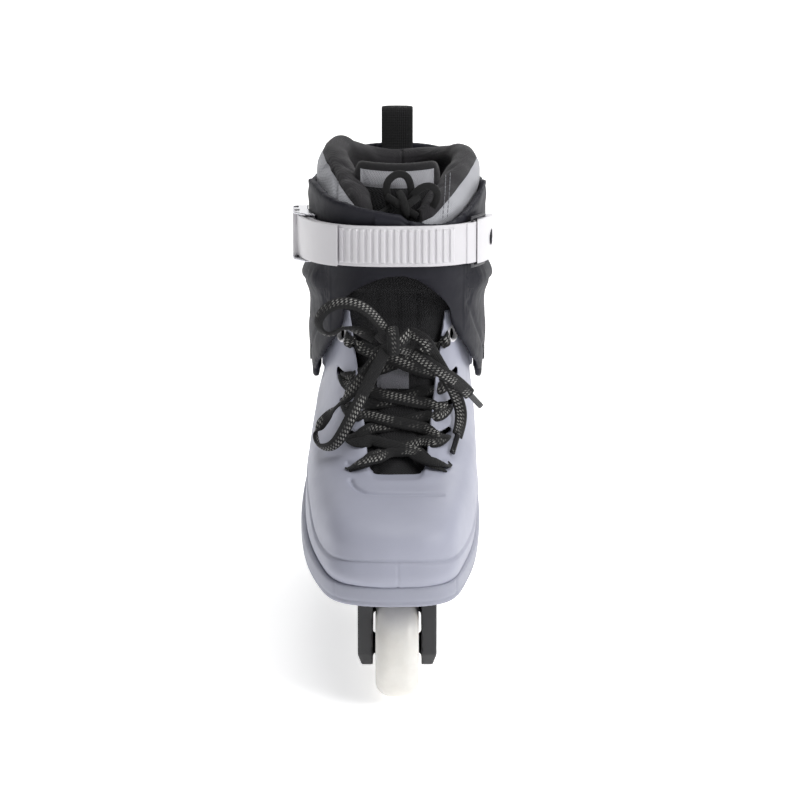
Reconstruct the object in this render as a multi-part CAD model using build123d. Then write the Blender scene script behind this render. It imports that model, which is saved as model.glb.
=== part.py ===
"""One inline skate, right foot: a moulded shell with a flexing cuff over a padded liner.

Millimetres. +Z is up and z = 0 is the ground under the wheels. x = 0 is the plane of the
wheels, and +X is the inner side of the foot. The toe points along -Y.
"""
import math
import os

from build123d import *

# ---- wheels, bearings and axles
WHEEL_R = 30.0
WHEEL_W = 24.0
CORE_R = 17.5
AXLE_Z = WHEEL_R
PAIR_SPACING = 63.0
MOUNT_HALF = 82.5  # half of the standard 165 mm between the frame bolts
AXLE_Y = [side * (MOUNT_HALF + step * PAIR_SPACING / 2)
          for side, step in ((-1, 1), (-1, -1), (1, -1), (1, 1))]
BEARING_R = 11.0
BEARING_W = 7.0
BEARING_BORE_R = 4.0
BALL_R = 1.985
BALL_PITCH_R = 7.5
BALLS = 7
AXLE_R = 3.97

# ---- frame and soleplate
FRAME_IN = 13.5
FRAME_OUT = 22.0
FRAME_HALF_LEN = 128.0
DECK_LOW = 61.6
SOLE_LOW = 66.0
SOLE_TOP = 78.0
SHELL_FLOOR = 82.0

# ---- shell, liner and cuff walls
SHELL_T = 3.0
LINER_GAP = 0.8
LINER_T = 7.0
CUFF_T = 3.0
THROAT_LOW = 121.0
FORM_LOW = 60.0

# ---- cuff hinge, strap and buckle
PIVOT_Y = 62.0
PIVOT_Z = 145.0
STRAP_Z = 237.0
STRAP_Y = -34.0
STRAP_TILT = 12.0
STRAP_W = 23.5
STRAP_IN = 2.0
STRAP_OUT = 4.4
LACE_D = 4.8
LACE_LIFT = LACE_D / 2 + 3.4
LINER_LACE_D = 3.0

# Height, front, back, outer half width, inner half width, and how far the outline has
# turned from a sole shape (0) into an ankle shape (1).
BOOT = [
    (FORM_LOW, -150.0, 149.0, 48.5, 42.5, 0.0),
    (78.0, -151.5, 150.5, 50.5, 44.5, 0.0),
    (90.0, -151.5, 151.0, 51.5, 45.5, 0.0),
    (100.0, -149.5, 150.5, 51.0, 45.5, 0.04),
    (107.0, -145.0, 150.0, 50.2, 45.2, 0.1),
    (112.0, -137.0, 149.3, 49.2, 45.0, 0.2),
    (116.0, -125.0, 148.5, 48.2, 44.7, 0.32),
    (119.0, -111.0, 147.5, 47.2, 44.4, 0.45),
    (122.0, -96.0, 146.5, 46.4, 44.0, 0.6),
    (127.0, -83.0, 145.0, 44.5, 43.2, 0.75),
    (134.0, -71.5, 142.5, 42.4, 42.0, 0.88),
    (143.0, -60.5, 139.5, 41.2, 41.2, 1.0),
    (154.0, -50.5, 135.5, 40.3, 40.3, 1.0),
    (167.0, -41.5, 131.0, 40.3, 40.3, 1.0),
    (182.0, -34.5, 126.5, 41.5, 41.5, 1.0),
    (198.0, -31.5, 123.0, 43.0, 43.0, 1.0),
    (215.0, -30.5, 120.0, 45.0, 45.0, 1.0),
    (235.0, -30.5, 118.0, 46.0, 46.0, 1.0),
    (258.0, -30.0, 117.0, 46.5, 46.5, 1.0),
    (290.0, -29.0, 116.0, 46.5, 46.5, 1.0),
]
CUFF = [
    (118.0, -68.0, 150.5, 49.0, 49.0, 1.0),
    (130.0, -58.0, 148.5, 48.2, 48.2, 1.0),
    (140.0, -50.0, 146.0, 48.4, 48.4, 1.0),
    (150.0, -44.5, 143.0, 49.5, 49.5, 1.0),
    (162.0, -40.0, 139.0, 50.3, 50.3, 1.0),
    (178.0, -37.0, 134.0, 49.8, 49.8, 1.0),
    (195.0, -35.0, 129.0, 49.5, 49.5, 1.0),
    (210.0, -34.5, 125.5, 50.0, 50.0, 1.0),
    (222.0, -34.5, 123.0, 50.3, 50.3, 1.0),
    (238.0, -34.5, 121.5, 50.3, 50.3, 1.0),
    (252.0, -34.5, 121.0, 50.3, 50.3, 1.0),
    (265.0, -34.0, 120.5, 50.0, 50.0, 1.0),
]
STATIONS = [0.0, 0.04, 0.1, 0.2, 0.3, 0.4, 0.5, 0.6, 0.7, 0.8, 0.9, 0.96, 1.0]
SOLE_SHARE = [0.0, 0.32, 0.60, 0.80, 0.93, 0.99, 0.985, 0.93, 0.85, 0.74, 0.51, 0.24, 0.0]
LAST = len(STATIONS) - 1


def width_share(k, ankle):
    """Half width at one of the stations from toe to heel, as a share of the widest."""
    turn = math.sin(math.pi * STATIONS[k])
    round_share = turn ** (0.62 if STATIONS[k] < 0.5 else 0.8) if 0 < k < LAST else 0.0
    return SOLE_SHARE[k] * (1 - ankle) + round_share * ankle


def outline(row, inset=0.0):
    """Points round one level of the boot, starting at the toe, moved in by inset."""
    _, front, back, outer, inner, ankle = row
    along = [front + (back - front) * (1 - math.cos(math.pi * u)) / 2 for u in STATIONS]
    ring = [(-outer * width_share(k, ankle), along[k]) for k in range(LAST + 1)]
    ring += [(inner * width_share(k, ankle), along[k]) for k in range(LAST - 1, 0, -1)]
    moved = []
    for i, (x, y) in enumerate(ring):
        ahead, behind = ring[(i + 1) % len(ring)], ring[i - 1]
        dx, dy = ahead[0] - behind[0], ahead[1] - behind[1]
        size = math.hypot(dx, dy)
        moved.append((x + inset * dy / size, y - inset * dx / size))
    return moved


def level(rows, z):
    """The row at height z, between the two that enclose it."""
    for low, high in zip(rows, rows[1:]):
        if low[0] <= z <= high[0]:
            t = (z - low[0]) / (high[0] - low[0])
            return tuple(a + (b - a) * t for a, b in zip(low, high))
    raise ValueError(z)


def front_y(rows, z, x, inset=0.0):
    """Where the front of the outline at height z crosses a given x."""
    ring = outline(level(rows, z), inset)
    half = ring[:LAST + 1] if x < 0 else [ring[0]] + ring[:LAST:-1]
    for (x0, y0), (x1, y1) in zip(half, half[1:]):
        if abs(x0) <= abs(x) <= abs(x1):
            return y0 + (y1 - y0) * (abs(x) - abs(x0)) / (abs(x1) - abs(x0))
    raise ValueError(x)


def form(rows, inset=0.0, drop=0.0):
    """The solid inside the rows, moved in by inset and down by drop."""
    wires = []
    for row in rows:
        points = [Vector(x, y, row[0] - drop) for x, y in outline(row, inset)]
        wires.append(Wire([Edge.make_spline(points, periodic=True)]))
    return Solid.make_loft(wires)


def block(x0, x1, y0, y1, z0, z1):
    return Pos((x0 + x1) / 2, (y0 + y1) / 2, (z0 + z1) / 2) * Box(x1 - x0, y1 - y0, z1 - z0)


def rod_x(x0, x1, radius, y, z):
    """A cylinder along X."""
    return Pos((x0 + x1) / 2, y, z) * Rot(0, 90, 0) * Cylinder(radius, x1 - x0)


def ring_x(x0, x1, outer, inner, y, z):
    return rod_x(x0, x1, outer, y, z) - rod_x(x0 - 1, x1 + 1, inner, y, z)


def side_prism(points, x0=-90.0, x1=90.0, rounding=0.0):
    """A profile drawn in (y, z), drawn out along X."""
    face = Plane.YZ * make_face(Polyline(*points, close=True))
    if rounding:
        face = fillet(face.vertices(), rounding)
    return Pos(x0, 0, 0) * extrude(face, x1 - x0, dir=(1, 0, 0))


def front_prism(points, y0, y1, rounding=0.0):
    """A profile drawn in (x, z), drawn out along Y."""
    face = Plane.XZ * make_face(Polyline(*points, close=True))
    if rounding:
        face = fillet(face.vertices(), rounding)
    return Pos(0, y0, 0) * extrude(face, y1 - y0, dir=(0, 1, 0))


def save(name, *solids):
    shape = solids[0] if len(solids) == 1 else Compound(children=list(solids))
    shape.label = name
    export_step(shape, f"parts/{name}.step")
    print(f"{name}: {len(shape.solids())} solids, {shape.volume:.0f} mm3")


# ---- wheels --------------------------------------------------------------------------
def tyre(y):
    half = WHEEL_W / 2
    with BuildSketch() as section:
        with BuildLine():
            Polyline((-half, WHEEL_R - 9), (-half, CORE_R), (half, CORE_R), (half, WHEEL_R - 9))
            Spline((half, WHEEL_R - 9), (half - 1.2, WHEEL_R - 4), (half - 5, WHEEL_R - 0.8),
                   (0, WHEEL_R), (-half + 5, WHEEL_R - 0.8), (-half + 1.2, WHEEL_R - 4),
                   (-half, WHEEL_R - 9))
        make_face()
    return Pos(0, y, AXLE_Z) * revolve(section.sketch, Axis.X)


def core(y):
    half, seat = WHEEL_W / 2, WHEEL_W / 2 - BEARING_W
    body = ring_x(-half, half, CORE_R, BEARING_R, y, AXLE_Z)
    web = ring_x(-seat, seat, BEARING_R, 8.6, y, AXLE_Z)
    hub = body + web
    for k in range(6):
        turn = math.radians(60 * k)
        at = y + 14.2 * math.cos(turn), AXLE_Z + 14.2 * math.sin(turn)
        hub -= rod_x(-half - 1, -half + 4, 1.9, *at)
        hub -= rod_x(half - 4, half + 1, 1.9, y + 14.2 * math.cos(turn), AXLE_Z + 14.2 * math.sin(turn))
    return hub


def bearing_centres():
    offset = WHEEL_W / 2 - BEARING_W / 2
    return (-offset, offset)


def race(y, x, outer, inner):
    """A bearing ring between two radii, with the groove its balls run in."""
    ring = ring_x(x - BEARING_W / 2, x + BEARING_W / 2, outer, inner, y, AXLE_Z)
    groove = Pos(x, y, AXLE_Z) * Rot(0, 90, 0) * Torus(BALL_PITCH_R, BALL_R + 0.1)
    return ring - groove


def outer_race(y, x):
    """The outer ring, with the two shields that close the bearing."""
    ring = race(y, x, BEARING_R, 9.1)
    for side in (-1, 1):
        face = x + side * (BEARING_W / 2 - 0.45)
        ring += ring_x(face - 0.2, face + 0.2, 9.4, 6.5, y, AXLE_Z)
    return ring


def balls(y, x):
    placed = []
    for k in range(BALLS):
        turn = 2 * math.pi * k / BALLS
        at = Pos(x, y + BALL_PITCH_R * math.cos(turn), AXLE_Z + BALL_PITCH_R * math.sin(turn))
        placed.append(at * Sphere(BALL_R))
    return placed


def socket_x(x0, x1, across, y, z):
    """A hexagonal socket along X."""
    return Pos(x0, y, z) * Rot(0, 90, 0) * extrude(RegularPolygon(across / math.sqrt(3), 6), x1 - x0)


def axle_bolt(y):
    head = rod_x(-FRAME_OUT, -18.8, 6.6, y, AXLE_Z) - socket_x(-FRAME_OUT - 0.1, -20.2, 4.0, y, AXLE_Z)
    shank = rod_x(-18.8, 18.6, AXLE_R, y, AXLE_Z) - rod_x(4.0, 19.0, 2.6, y, AXLE_Z)
    return head + shank


def axle_screw(y):
    head = rod_x(18.8, FRAME_OUT, 6.6, y, AXLE_Z) - socket_x(20.2, FRAME_OUT + 0.1, 4.0, y, AXLE_Z)
    return head + rod_x(6.0, 18.8, 2.55, y, AXLE_Z)


def make_wheels():
    for number, y in enumerate(AXLE_Y, 1):
        save(f"wheel_{number}_tyre", tyre(y))
        save(f"wheel_{number}_core", core(y))
        save(f"wheel_{number}_outer_races", *[outer_race(y, x) for x in bearing_centres()])
        save(f"wheel_{number}_balls", *[ball for x in bearing_centres() for ball in balls(y, x)])
    seat = WHEEL_W / 2 - BEARING_W
    save("inner_races", *[race(y, x, 6.1, BEARING_BORE_R) for y in AXLE_Y for x in bearing_centres()])
    save("bearing_spacers", *[ring_x(-seat, seat, 5.4, BEARING_BORE_R, y, AXLE_Z) for y in AXLE_Y])
    save("axle_bolts", *[axle_bolt(y) for y in AXLE_Y])
    save("axle_screws", *[axle_screw(y) for y in AXLE_Y])


# ---- frame ---------------------------------------------------------------------------
def frame_profile():
    """The wall of the frame from the side: a boss at each axle and an arch amidships."""
    half = [(0, 42), (22, 38), (33, 24), (40, 19), (60, 18.5), (72, 24), (93, 24), (105, 18.5),
            (120, 19),
            (126, 28), (FRAME_HALF_LEN, 50), (FRAME_HALF_LEN, SOLE_LOW)]
    return [(-y, z) for y, z in reversed(half)] + half[1:]


def make_frame():
    wall = side_prism(frame_profile(), -FRAME_OUT, FRAME_OUT, 2.5)
    wall -= block(-FRAME_IN, FRAME_IN, -200, 200, 0, DECK_LOW)
    wall += block(-FRAME_IN - 1, FRAME_IN + 1, -15, 15, 40, DECK_LOW + 1)
    wall -= side_prism([(-12, 46), (12, 46), (9, 58), (-9, 58)], rounding=2)
    for side in (-1, 1):
        outer = side * (FRAME_OUT + 4)
        inner = side * (FRAME_OUT - 1.6)
        for y in (-MOUNT_HALF, MOUNT_HALF):
            pocket = side_prism([(y - 15, 54), (y + 15, 54), (y + 7, 36), (y - 7, 36)],
                                min(outer, inner), max(outer, inner), 2.5)
            wall -= pocket
        low = [(side * 26, 10), (side * 26, 30), (side * 22, 27), (side * 17.5, 10)]
        wall -= front_prism(low, -200, 200)
    for y in AXLE_Y:
        for side in (-1, 1):
            ends = sorted((side * WHEEL_W / 2, side * (FRAME_IN + 0.5)))
            wall += ring_x(*ends, 5.9, 4.03, y, AXLE_Z)
            ends = sorted((side * 18.8, side * 26))
            wall -= rod_x(*ends, 7.0, y, AXLE_Z)
        wall -= rod_x(-30, 30, 4.0, y, AXLE_Z)
    for y in (-MOUNT_HALF, MOUNT_HALF):
        wall -= Pos(0, y, 60) * Cylinder(4.1, 40)
    save("frame", wall)
    bolts, nuts = [], []
    for y in (-MOUNT_HALF, MOUNT_HALF):
        bolt = Pos(0, y, DECK_LOW - 2.5) * Cylinder(6.5, 5)
        bolt += Pos(0, y, (DECK_LOW + 84) / 2) * Cylinder(4.0, 84 - DECK_LOW)
        bolt -= Pos(0, y, DECK_LOW - 5.1) * extrude(RegularPolygon(2.9, 6), 3)
        bolts.append(bolt)
        nut = Pos(0, y, 83.0) * Cylinder(9.0, 2.0) + Pos(0, y, 80.0) * Cylinder(5.6, 4.0)
        nuts.append(nut - Pos(0, y, 80) * Cylinder(4.0, 12))
    save("frame_bolts", *bolts)
    save("frame_nuts", *nuts)


# ---- soleplate -----------------------------------------------------------------------
SOLE = [
    (SOLE_LOW, -152.0, 150.0, 54.0, 46.0, 0.0),
    (SOLE_LOW + 6, -152.6, 151.0, 54.8, 46.8, 0.0),
    (SOLE_TOP, -152.4, 151.2, 54.2, 46.8, 0.0),
]
SLIDE_X0, SLIDE_X1 = -51.5, -30.0
SLIDE_Y0, SLIDE_Y1 = -78.0, 34.0


def make_sole():
    plate = form(SOLE)
    slide = front_prism([(-60, 60), (SLIDE_X1, 60), (SLIDE_X1, 72), (-60, 72)], SLIDE_Y0, SLIDE_Y1)
    insert = (Solid(plate.wrapped) & slide) - block(-60, SLIDE_X0 + 48, -200, 200, 72.0, 90)
    plate -= slide
    for y in (-MOUNT_HALF, MOUNT_HALF):
        plate -= Pos(0, y, 72) * Cylinder(5.7, 16)
    for y in (SLIDE_Y0 + 14, SLIDE_Y1 - 14):
        plate -= Pos(-40, y, 74) * Cylinder(2.55, 8)
        insert -= Pos(-40, y, 70) * Cylinder(2.6, 12)
        insert -= Pos(-40, y, 67) * Cylinder(4.4, 4.6)
    save("soleplate", plate)
    save("outer_slide_insert", insert)
    screws = []
    for y in (SLIDE_Y0 + 14, SLIDE_Y1 - 14):
        screw = Pos(-40, y, 68.2) * Cylinder(4.2, 2.0) + Pos(-40, y, 73.0) * Cylinder(2.5, 9.0)
        screws.append(screw - Pos(-40, y, 67) * extrude(RegularPolygon(1.6, 6), 1.4))
    save("slide_screws", *screws)


# ---- shell, liner and tongue ---------------------------------------------------------
def throat_half(z):
    """Half the width of the laced opening at height z."""
    return 15.5 + max(0.0, z - THROAT_LOW) * 0.155


def throat(extra=0.0, low=THROAT_LOW, top=300.0):
    half_low, half_top = throat_half(low) + extra, throat_half(192) + extra
    points = [(-half_low, low), (half_low, low), (half_top, 192), (half_top, top), (-half_top, top),
              (-half_top, 192)]
    return points


LACE_ROWS = [123.8, 133.5, 144.0, 156.0]
SLOT_HALF = 3.2
EYELET_X, EYELET_Z = 31.0, 179.0


def make_shell():
    side = [(-200, SOLE_TOP), (200, SOLE_TOP), (200, 178), (90, 170), (40, 166), (4, 172),
            (-14, 194), (-200, 196)]
    shell = form(BOOT) & side_prism(side)
    shell -= form(BOOT, SHELL_T, SHELL_T) & block(-90, 90, -200, 200, SHELL_FLOOR, 270)
    shell -= front_prism(throat(), -200, 30, 5.0)
    for z in LACE_ROWS:
        for side in (-1, 1):
            x = side * (throat_half(z) + 9)
            rise = 3.0 / (front_y(BOOT, z + 1.5, x) - front_y(BOOT, z - 1.5, x))
            tall = SLOT_HALF * rise / math.hypot(1, rise)
            shell -= block(x - 4.0, x + 4.0, -200, 20, z - tall, z + tall)
    for side in (-1, 1):
        shell -= Pos(side * EYELET_X, -60, EYELET_Z) * Rot(90, 0, 0) * Cylinder(4.2, 140)
        x_in, x_boss = side * 37.5, side * 43.2
        shell += rod_x(*sorted((x_in, x_boss)), 12.0, PIVOT_Y, PIVOT_Z)
        shell -= rod_x(*sorted((side * 30, side * 60)), 5.0, PIVOT_Y, PIVOT_Z)
        shell -= rod_x(*sorted((side * 30, x_in)), 9.5, PIVOT_Y, PIVOT_Z)
    for y in (-MOUNT_HALF, MOUNT_HALF):
        shell -= Pos(0, y, 80) * Cylinder(5.7, 8)
    save("shell", shell)


def make_liner():
    near, deep = SHELL_T + LINER_GAP, SHELL_T + LINER_GAP + LINER_T
    outer, inner = form(BOOT, near, near), form(BOOT, deep, deep - 2)
    low = SHELL_FLOOR + 4.4
    boot = outer & block(-90, 90, -200, 200, low, 176)
    boot -= inner & block(-90, 90, -200, 200, low + 4, 300)
    boot -= front_prism([(-200, 176), (0, 176)] + [(0, 300), (-200, 300)], -300, 300)
    tongue_cut = [(-25.4, 113.6), (25.4, 113.6), (31.4, 192), (31.4, 300), (-31.4, 300), (-31.4, 192)]
    boot -= front_prism(tongue_cut, -200, 12)
    for side in (-1, 1):
        boot -= rod_x(*sorted((side * 33.6, side * 60)), 9.0, PIVOT_Y, PIVOT_Z)
    save("liner_boot", boot)
    keep = [(-25, 114), (25, 114), (31, 192), (31, 300), (-31, 300), (-31, 192)]
    room = front_prism(keep, -200, 12) & block(-90, 90, -200, 12, 114, 190)
    save("tongue", (form(BOOT, near + 0.7, near + 0.7) & room) - form(BOOT, deep, deep + 0.5))
    board = form(BOOT, near + 1.5, 0) & block(-90, 90, -200, 200, SHELL_FLOOR, SHELL_FLOOR + 4)
    for y in (-MOUNT_HALF, MOUNT_HALF):
        board -= Pos(0, y, SHELL_FLOOR + 1) * Cylinder(9.5, 8)
    save("shock_board", board)
    bed = form(BOOT, deep + 0.8, deep - 2) & block(-90, 90, -200, 200, low + 4.3, low + 8)
    save("footbed", bed)


COLLAR_TOP = [(-60, 250), (-26, 252), (0, 262), (30, 269), (52, 271), (70, 265), (90, 249),
              (100, 246.5), (140, 245.5)]


def make_collar():
    side = [(-60, 206), (14, 206), (32, 186), (140, 184)] + COLLAR_TOP[::-1]
    collar = (form(BOOT, 0.4) & side_prism(side)) - form(BOOT, 15.0, 3.0)
    opening = [(-13, 150), (13, 150), (15, 245), (30, 300), (-30, 300), (-15, 245)]
    collar -= front_prism(opening, -200, 30)
    behind = [(-24.8, 206), (-24.8, 190), (40, 190), (40, 290), (-5.0, 290), (-5.8, 276), (-19.8, 236)]
    collar -= side_prism(behind) & block(-31, 31, -60, 14, 180, 300)
    save("liner_collar", collar)
    lean = [(-24, 206), (-15, 206), (-10, 235), (3, 273), (-5, 275), (-19, 236)]
    wide = [(-24, 200), (24, 200), (29, 240), (30, 268), (24, 277), (-24, 277), (-30, 268), (-29, 240)]
    save("tongue_top", side_prism(lean, rounding=2.5) & front_prism(wide, -60, 40, 3))


PULL_TAB_W = 18.0


def make_pull_tab():
    """A folded loop of webbing standing on the back of the collar."""
    loop = [(99.5, 247.0), (101.5, 247.0), (102.5, 268.5), (107.5, 268.5), (109.0, 247.0),
            (111.0, 247.0),
            (109.5, 270.5), (106.5, 272.5), (103.0, 272.5), (100.5, 270.5)]
    save("pull_tab", side_prism(loop, -PULL_TAB_W / 2, PULL_TAB_W / 2))


# ---- cuff ----------------------------------------------------------------------------
def cuff_profile():
    """The cuff from the side: flaps in front, a lobe down to each hinge, a top edge that dips
    behind each ankle."""
    lobe = [(PIVOT_Y + 19 * math.sin(math.radians(a)), PIVOT_Z - 19 * math.cos(math.radians(a)))
            for a in range(-60, 61, 20)]
    return ([(-60, 217), (-33, 217), (-27, 194), (-18, 177), (-3, 160), (20, 147)] + lobe
            + [(100, 162), (122, 170), (160, 172), (160, 249), (110, 248), (84, 243), (56, 246),
               (32, 255), (10, 259), (-14, 258), (-60, 252)])


def make_cuff():
    ledge = side_prism([(-14, 204), (38, 192), (45, 197), (44, 203.5), (3, 211.5), (-16, 214.5)])
    cuff = form(CUFF) & side_prism(cuff_profile())
    sides = block(-90, -44.5, -90, 90, 180, 230) + block(44.5, 90, -90, 90, 180, 230)
    cuff += form(CUFF, -6.0) & ledge & sides
    cuff -= form(CUFF, CUFF_T, 2.0) & block(-90, 90, -90, 200, 117, 262.5)
    cuff -= block(-12.4, -11.6, -60, 0, 200, 280)
    for side in (-1, 1):
        near, outer = side * 43.6, side * 46.9
        cuff += rod_x(*sorted((near, outer)), 13.5, PIVOT_Y, PIVOT_Z)
        cuff -= rod_x(*sorted((outer, side * 60)), 9.4, PIVOT_Y, PIVOT_Z)
        cuff -= rod_x(*sorted((side * 30, near)), 15.0, PIVOT_Y, PIVOT_Z)
        cuff -= rod_x(*sorted((side * 30, side * 60)), 5.0, PIVOT_Y, PIVOT_Z)
    for y in RIVET_Y:
        cuff -= rod_x(-60, -40, 2.0, y, strap_height(y))
    cuff -= rod_x(40, 60, 2.5, ANCHOR_SCREW_Y, strap_height(ANCHOR_SCREW_Y))
    save("cuff", cuff)
    bolts, nuts = [], []
    for side in (-1, 1):
        head = rod_x(*sorted((side * 47.2, side * 50.2)), 9.0, PIVOT_Y, PIVOT_Z)
        head -= socket_x(*sorted((side * 48.4, side * 51)), 5.0, PIVOT_Y, PIVOT_Z)
        shank = rod_x(*sorted((side * 35.6, side * 47.3)), 4.95, PIVOT_Y, PIVOT_Z)
        bolts.append(head + shank)
        nut = ring_x(*sorted((side * 34.4, side * 37.4)), 8.5, 4.98, PIVOT_Y, PIVOT_Z)
        nuts.append(nut)
    save("cuff_bolts", *bolts)
    save("cuff_nuts", *nuts)


# ---- strap, buckle and anchor --------------------------------------------------------
def slab(low, high):
    """The space between two heights on the strap, which slopes down to the back."""
    tilt = Pos(0, STRAP_Y, STRAP_Z) * Rot(-STRAP_TILT, 0, 0)
    return tilt * Pos(0, 0, (low + high) / 2) * Box(400, 500, high - low)


def band(near, far, low, high, *limits):
    """A piece that follows the cuff between two distances from its face."""
    piece = form(CUFF, -far) & slab(low, high)
    for limit in limits:
        piece = piece & limit
    return piece - form(CUFF, -near, 2.0)


def pin(x, y, half, radius):
    """A pin across the strap, through the point where (x, y) meets the strap's middle."""
    z = STRAP_Z - (y - STRAP_Y) * math.tan(math.radians(STRAP_TILT))
    return Pos(x, y, z) * Rot(-STRAP_TILT, 0, 0) * Cylinder(radius, 2 * half)


ALONG = 1 / math.cos(math.radians(STRAP_TILT))
LEVER_PIN = (-56.9, 22.0)
PAWL_PIN = (-57.5, 39.0)
RIVET_Y = (12.0, 34.0)
ANCHOR_SCREW_Y = 9.0
RIBS = 17
RIB_PITCH = 3.9
CHANNEL = STRAP_W / 2 + 0.7
CHEEK_T = 1.3


def across(points, half):
    """A profile drawn in the strap's own sloping plane, as (x, y), drawn out both ways."""
    plane = Plane(origin=(0, STRAP_Y, STRAP_Z), x_dir=(1, 0, 0),
                  z_dir=(0, math.sin(math.radians(STRAP_TILT)), math.cos(math.radians(STRAP_TILT))))
    face = plane * make_face(Polyline(*[(x, (y - STRAP_Y) * ALONG) for x, y in points], close=True))
    return extrude(face, half, both=True)


def make_strap():
    half = STRAP_W / 2
    path = block(-90, 40.4, -90, 8, 150, 300) + block(-90, -20, -90, 33, 150, 300)
    strap = band(STRAP_IN, STRAP_OUT, -half, half, path)
    middle = block(-50, 34, -60, 8, 150, 300)
    ribs = band(STRAP_OUT - 0.6, STRAP_OUT + 1.1, -half + 2.2, half - 2.2, middle)
    for k in range(RIBS):
        x = -32.6 + RIB_PITCH * k
        strap += ribs & block(x, x + 2.3, -60, 8, 150, 300)
    strap += band(1.2, 5.4, -half, half, block(39.4, 44.6, -90, 8, 150, 300))
    strap -= band(2.2, 4.4, -half - 3, half + 3, block(40.9, 43.3, -90, 8, 150, 300))
    save("ladder_strap", strap)


def make_buckle():
    half = CHANNEL + CHEEK_T
    reach = block(-90, -20, 2, 48, 150, 300)
    base = band(0.4, 1.6, -half, half, reach)
    cheek = [(-48, 3), (-52, 3), (-58.6, 14), (-59.6, 22), (-59.6, 41), (-57, 47), (-48, 47)]
    sides = across(cheek, half) - across([(x - 5 if x < -50 else x + 5, y) for x, y in cheek], CHANNEL)
    base += sides - form(CUFF, -0.4, 2.0)
    for x, y in (LEVER_PIN, PAWL_PIN):
        base -= pin(x, y, 20, 1.55)
    for y in RIVET_Y:
        base -= rod_x(-60, -40, 2.0, y, strap_height(y))
    save("buckle_base", base)
    save("buckle_rivets", *[rod_x(side_x(y) - 1.5, side_x(y) + CUFF_T - 0.6, 1.98, y, strap_height(y))
                            for y in RIVET_Y])
    save("buckle_pins", *[pin(x, y, half + 0.4, 1.5) for x, y in (LEVER_PIN, PAWL_PIN)])
    lever = band(6.0, 7.8, -CHANNEL + 0.5, CHANNEL - 0.5, block(-90, -33.4, -90, 20.5, 150, 300))
    lever += pin(*LEVER_PIN, CHANNEL - 0.6, 2.3) - form(CUFF, -4.7, 2.0)
    save("buckle_lever", lever - pin(*LEVER_PIN, 20, 1.53))
    pawl = across([(-55.2, 30), (-57.4, 31), (-59.3, 38), (-59.6, 46.5), (-58.2, 46.5),
                   (-56.6, 41), (-55.9, 37)],
                  CHANNEL - 1.5)
    pawl += pin(*PAWL_PIN, CHANNEL - 0.6, 2.1)
    save("release_pawl", pawl - pin(*PAWL_PIN, 20, 1.53))


def strap_height(y):
    """The height of the strap's middle where it is level with y."""
    return STRAP_Z - (y - STRAP_Y) * math.tan(math.radians(STRAP_TILT))


def side_x(y, rows=CUFF):
    """How far out the cuff's outer side is at the strap's height."""
    ring = outline(level(rows, strap_height(y)))[:LAST + 1]
    for (x0, y0), (x1, y1) in zip(ring, ring[1:]):
        if y0 <= y <= y1:
            return x0 + (x1 - x0) * (y - y0) / (y1 - y0)
    raise ValueError(y)


def make_anchor():
    half = STRAP_W / 2
    wide = half + 0.9
    wire = half + 1.4
    beside = block(45.0, 90, -60, 15, 150, 300)
    holder = band(0.4, 6.2, -wide, wide, beside)
    holder -= band(2.3, 4.7, -wide - 3, wide + 3, block(40, 90, 0.8, 3.4, 150, 300))
    screw_z = strap_height(ANCHOR_SCREW_Y)
    holder -= rod_x(40, 70, 2.5, ANCHOR_SCREW_Y, screw_z)
    holder -= rod_x(51.4, 70, 4.5, ANCHOR_SCREW_Y, screw_z)
    save("strap_anchor", holder)
    round_it = block(41.2, 90, -60, 3.1, 150, 300)
    frame = band(2.5, 4.2, wire, wire + 1.8, round_it) + band(2.5, 4.2, -wire - 1.8, -wire, round_it)
    frame += band(2.5, 4.2, -wire - 1, wire + 1, block(41.2, 43.0, -60, 3.1, 150, 300))
    frame += band(2.5, 4.2, -wire - 1, wire + 1, block(40, 90, 1.2, 3.1, 150, 300))
    save("strap_wire", frame)
    screw = rod_x(51.6, 53.6, 4.2, ANCHOR_SCREW_Y, screw_z)
    screw += rod_x(46.0, 51.6, 2.45, ANCHOR_SCREW_Y, screw_z)
    save("anchor_screw", screw - socket_x(52.6, 54, 3.0, ANCHOR_SCREW_Y, screw_z))


# ---- laces ---------------------------------------------------------------------------
def cord(points, diameter, name):
    """A round cord along straight runs that are joined by arcs."""
    nodes = [Vector(*p) for p in points]
    radii = []
    for before, at, after in zip(nodes, nodes[1:], nodes[2:]):
        into, out = at - before, after - at
        turn = math.radians(into.get_angle(out))
        radii.append(0.45 * min(into.length, out.length) / math.tan(turn / 2))
    path = FilletPolyline(*nodes, radius=radii)
    tube = sweep(Plane(path @ 0, z_dir=path % 0) * Circle(diameter / 2), path=path)
    should = math.pi * diameter ** 2 / 4 * path.length
    print(f"{name}: length {path.length:.1f}, tightest bend {min(radii):.1f}, "
          f"volume {tube.volume / should:.3f}")
    return tube


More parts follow.
